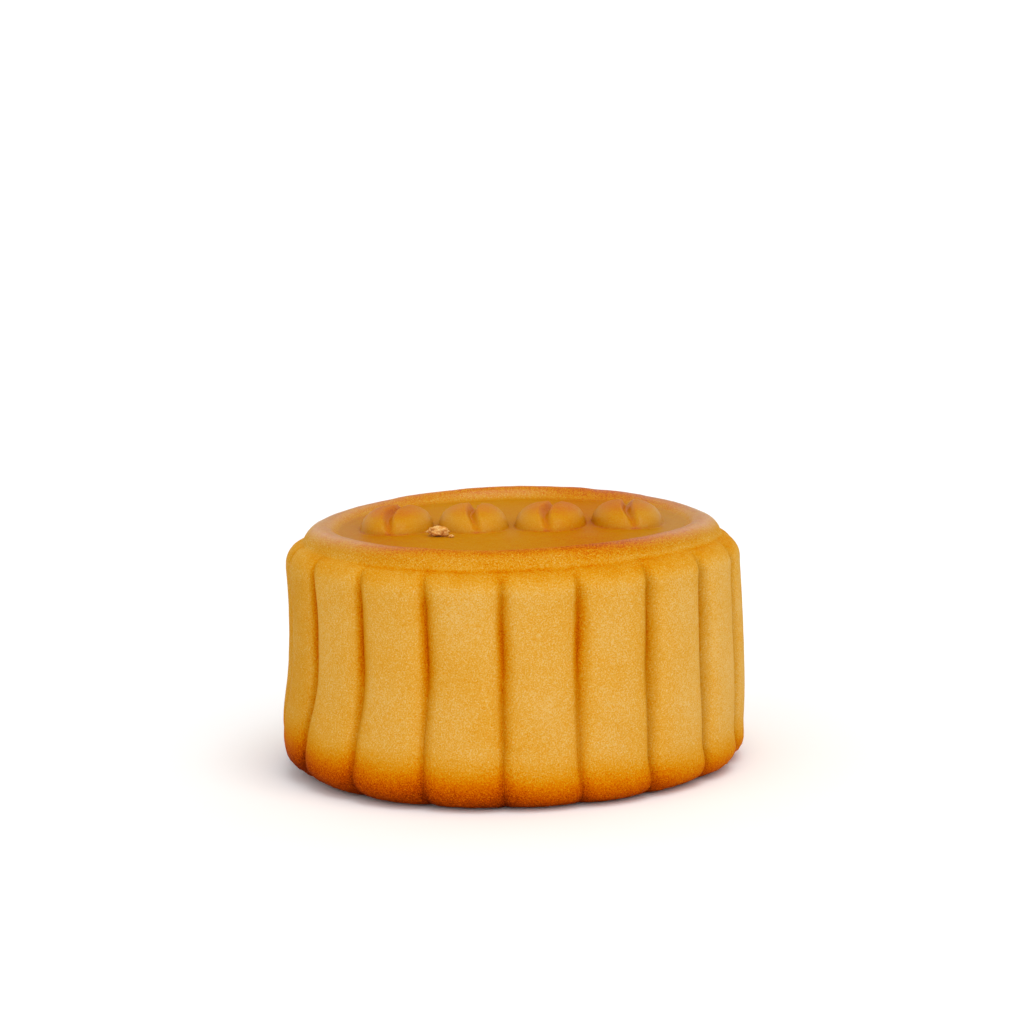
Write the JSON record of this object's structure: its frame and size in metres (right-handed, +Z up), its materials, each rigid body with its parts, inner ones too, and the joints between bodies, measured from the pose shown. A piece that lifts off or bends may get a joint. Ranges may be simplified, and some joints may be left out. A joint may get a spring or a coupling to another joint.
{
  "type": "coffee mooncake",
  "caption": "Whole round mooncake with fluted sides, a raised rim and a row of coffee beans moulded in relief on its top; it stands on a flat base.",
  "frame": {"origin": "middle of the flat base, on the surface that the cake stands on", "axes": "+Z up through the cake, the bare front strip of the panel faces -Y, and the row of moulded beans runs along X"},
  "size_m": [0.0627, 0.0613, 0.0353],
  "materials": {
    "baked_crust": "baked golden pastry with a soft egg-wash sheen, fine grained, browner along the creases, the rim and the base"
  },
  "bodies": {
    "root": {"mooncake": "baked_crust"}
  },
  "joints": []
}
